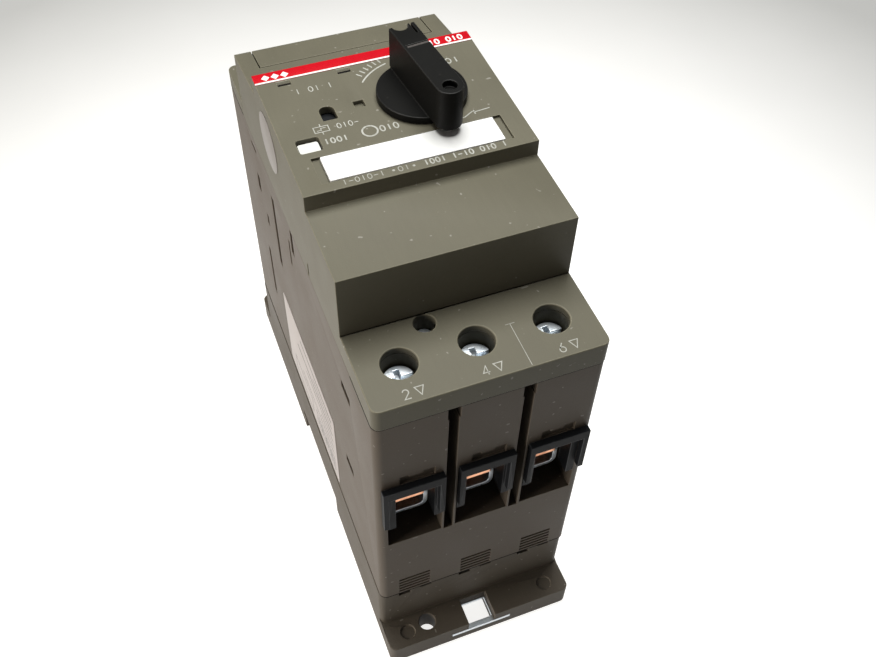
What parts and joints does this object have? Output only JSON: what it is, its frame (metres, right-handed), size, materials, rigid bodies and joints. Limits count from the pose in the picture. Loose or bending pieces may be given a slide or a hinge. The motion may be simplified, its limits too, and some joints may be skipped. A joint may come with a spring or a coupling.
{
  "type": "motor protection breaker",
  "caption": "Rotary-handle motor protection breaker in a stepped moulded housing, with box terminals at both ends and feet for a plate or rail.",
  "frame": {"origin": "centre of the back face, on the mounting plane", "axes": "+Z away from the mounting plane towards the operator, -Y to the load terminals, +Y to the line terminals, +X to the right seen from the load end; the breaker lies on its back"},
  "size_m": [0.055, 0.14, 0.149],
  "materials": {
    "base_plastic": "fine spark-eroded grain, dark brown grey",
    "housing_plastic": "fine spark-eroded grain, warm grey",
    "cover_plastic": "fine spark-eroded grain, olive grey",
    "stripe_red": "printed red film with a thin white edge",
    "label_white": "matt white card",
    "sticker_white": "satin white film",
    "button_white": "smooth white moulding",
    "handle_black": "satin black moulding",
    "guide_black": "smooth black moulding",
    "insulation_tan": "moulded thermoset",
    "fibre": "pressed fibre board",
    "copper": "bare copper, lightly oxidised",
    "contact_silver": "silver alloy facing",
    "steel_bright": "plain steel",
    "steel_dark": "phosphated steel",
    "zinc": "blue zinc plate"
  },
  "bodies": {
    "housing": {"base_plate": "base_plastic", "main_housing": "housing_plastic", "front_cover": "cover_plastic", "load_terminal_cover": "cover_plastic", "line_terminal_cover": "cover_plastic", "red_stripe": "stripe_red", "label_card": "label_white", "round_sticker": "sticker_white", "side_label": "sticker_white", "test_spring": "steel_bright", "mechanism_frame": "zinc", "fixed_tips": "contact_silver", "opening_springs": "steel_bright", "load_conductors": "copper", "line_conductors": "copper", "trip_coils": "copper", "coil_yokes": "steel_dark", "arc_plates": "steel_dark", "arc_chute_walls": "fibre", "load_guides": "guide_black", "line_guides": "guide_black", "cover_screws": "zinc", "housing_screws": "zinc", "din_spring": "steel_bright"},
    "hatch": {"accessory_hatch": "cover_plastic"},
    "test_button": {"test_button": "button_white"},
    "trip_flag": {"trip_flag": "guide_black"},
    "handle": {"rotary_handle": "handle_black", "handle_shaft": "zinc", "drive_cam": "insulation_tan"},
    "padlock_slide": {"padlock_slide": "handle_black"},
    "latch_lever": {"latch_lever": "steel_dark"},
    "trip_bar": {"trip_bar": "insulation_tan"},
    "carrier": {"contact_carrier": "insulation_tan", "contact_bridges": "copper", "moving_tips": "contact_silver", "contact_springs": "steel_bright"},
    "din_slider": {"din_slider": "zinc"},
    "plunger_1": {"trip_plunger_1": "steel_bright"},
    "plunger_2": {"trip_plunger_2": "steel_bright"},
    "plunger_3": {"trip_plunger_3": "steel_bright"},
    "load_clamp_1": {"load_clamp_1": "zinc"},
    "load_screw_1": {"load_screw_1": "zinc"},
    "load_clamp_2": {"load_clamp_2": "zinc"},
    "load_screw_2": {"load_screw_2": "zinc"},
    "load_clamp_3": {"load_clamp_3": "zinc"},
    "load_screw_3": {"load_screw_3": "zinc"},
    "line_clamp_1": {"line_clamp_1": "zinc"},
    "line_screw_1": {"line_screw_1": "zinc"},
    "line_clamp_2": {"line_clamp_2": "zinc"},
    "line_screw_2": {"line_screw_2": "zinc"},
    "line_clamp_3": {"line_clamp_3": "zinc"},
    "line_screw_3": {"line_screw_3": "zinc"}
  },
  "joints": [
    {"name": "handle_turn", "type": "hinge", "parent": "housing", "child": "handle", "pos_m": [0.0081, 0.0044, 0.137], "axis": [0, 0, 1], "range_deg": [0, 84]},
    {"name": "carrier_lift", "type": "slide", "parent": "housing", "child": "carrier", "axis": [0, 0, 1], "range_m": [0, 0.006], "deforming": ["opening_springs"]},
    {"name": "padlock_pull", "type": "slide", "parent": "handle", "child": "padlock_slide", "axis": [-0.1045, 0.9945, 0], "range_m": [0, 0.007]},
    {"name": "hatch_open", "type": "hinge", "parent": "housing", "child": "hatch", "pos_m": [0, 0.045, 0.119], "axis": [-1, 0, 0], "range_deg": [0, 80]},
    {"name": "test_press", "type": "slide", "parent": "housing", "child": "test_button", "axis": [0, 0, -1], "range_m": [0, 0.0015], "stiffness_N_per_m": 300, "springref_m": -0.002, "deforming": ["test_spring"]},
    {"name": "trip_bar_turn", "type": "hinge", "parent": "housing", "child": "trip_bar", "pos_m": [0, -0.028, 0.104], "axis": [-1, 0, 0], "range_deg": [0, 12], "stiffness_Nm_per_rad": 0.01, "springref_deg": -17.19},
    {"name": "latch_turn", "type": "hinge", "parent": "housing", "child": "latch_lever", "pos_m": [0.0027, -0.005, 0.097], "axis": [-1, 0, 0], "range_deg": [0, 12]},
    {"name": "flag_slide", "type": "slide", "parent": "housing", "child": "trip_flag", "axis": [0, 1, 0], "range_m": [0, 0.0024]},
    {"name": "din_slider_pull", "type": "slide", "parent": "housing", "child": "din_slider", "axis": [0, -1, 0], "range_m": [0, 0.004], "stiffness_N_per_m": 1500, "springref_m": -0.003, "deforming": ["din_spring"]},
    {"name": "plunger_1_lift", "type": "slide", "parent": "housing", "child": "plunger_1", "axis": [0, 0, 1], "range_m": [0, 0.0014]},
    {"name": "plunger_2_lift", "type": "slide", "parent": "housing", "child": "plunger_2", "axis": [0, 0, 1], "range_m": [0, 0.0014]},
    {"name": "plunger_3_lift", "type": "slide", "parent": "housing", "child": "plunger_3", "axis": [0, 0, 1], "range_m": [0, 0.0014]},
    {"name": "load_screw_1_turn", "type": "hinge", "parent": "housing", "child": "load_screw_1", "pos_m": [-0.0177, -0.0516, 0.106], "axis": [0, 0, -1], "range_deg": [0, 1440]},
    {"name": "load_clamp_1_lift", "type": "slide", "parent": "housing", "child": "load_clamp_1", "axis": [0, 0, 1], "range_m": [0, 0.005]},
    {"name": "load_screw_2_turn", "type": "hinge", "parent": "housing", "child": "load_screw_2", "pos_m": [0, -0.0516, 0.106], "axis": [0, 0, -1], "range_deg": [0, 1440]},
    {"name": "load_clamp_2_lift", "type": "slide", "parent": "housing", "child": "load_clamp_2", "axis": [0, 0, 1], "range_m": [0, 0.005]},
    {"name": "load_screw_3_turn", "type": "hinge", "parent": "housing", "child": "load_screw_3", "pos_m": [0.0177, -0.0516, 0.106], "axis": [0, 0, -1], "range_deg": [0, 1440]},
    {"name": "load_clamp_3_lift", "type": "slide", "parent": "housing", "child": "load_clamp_3", "axis": [0, 0, 1], "range_m": [0, 0.005]},
    {"name": "line_screw_1_turn", "type": "hinge", "parent": "housing", "child": "line_screw_1", "pos_m": [-0.0177, 0.0516, 0.106], "axis": [0, 0, -1], "range_deg": [0, 1440]},
    {"name": "line_clamp_1_lift", "type": "slide", "parent": "housing", "child": "line_clamp_1", "axis": [0, 0, 1], "range_m": [0, 0.005]},
    {"name": "line_screw_2_turn", "type": "hinge", "parent": "housing", "child": "line_screw_2", "pos_m": [0, 0.0516, 0.106], "axis": [0, 0, -1], "range_deg": [0, 1440]},
    {"name": "line_clamp_2_lift", "type": "slide", "parent": "housing", "child": "line_clamp_2", "axis": [0, 0, 1], "range_m": [0, 0.005]},
    {"name": "line_screw_3_turn", "type": "hinge", "parent": "housing", "child": "line_screw_3", "pos_m": [0.0177, 0.0516, 0.106], "axis": [0, 0, -1], "range_deg": [0, 1440]},
    {"name": "line_clamp_3_lift", "type": "slide", "parent": "housing", "child": "line_clamp_3", "axis": [0, 0, 1], "range_m": [0, 0.005]}
  ],
  "couplings": [
    {"joint": "carrier_lift", "follows": "handle_turn", "m_per_rad": 0.00409},
    {"joint": "trip_bar_turn", "follows": "plunger_2_lift", "rad_per_m": 149.6},
    {"joint": "latch_turn", "follows": "plunger_2_lift", "rad_per_m": 149.6},
    {"joint": "flag_slide", "follows": "plunger_2_lift", "ratio": 1.714},
    {"joint": "plunger_1_lift", "follows": "plunger_2_lift", "ratio": 1},
    {"joint": "plunger_3_lift", "follows": "plunger_2_lift", "ratio": 1},
    {"joint": "load_screw_1_turn", "follows": "load_clamp_1_lift", "rad_per_m": 5026.5},
    {"joint": "load_screw_2_turn", "follows": "load_clamp_2_lift", "rad_per_m": 5026.5},
    {"joint": "load_screw_3_turn", "follows": "load_clamp_3_lift", "rad_per_m": 5026.5},
    {"joint": "line_screw_1_turn", "follows": "line_clamp_1_lift", "rad_per_m": 5026.5},
    {"joint": "line_screw_2_turn", "follows": "line_clamp_2_lift", "rad_per_m": 5026.5},
    {"joint": "line_screw_3_turn", "follows": "line_clamp_3_lift", "rad_per_m": 5026.5}
  ]
}
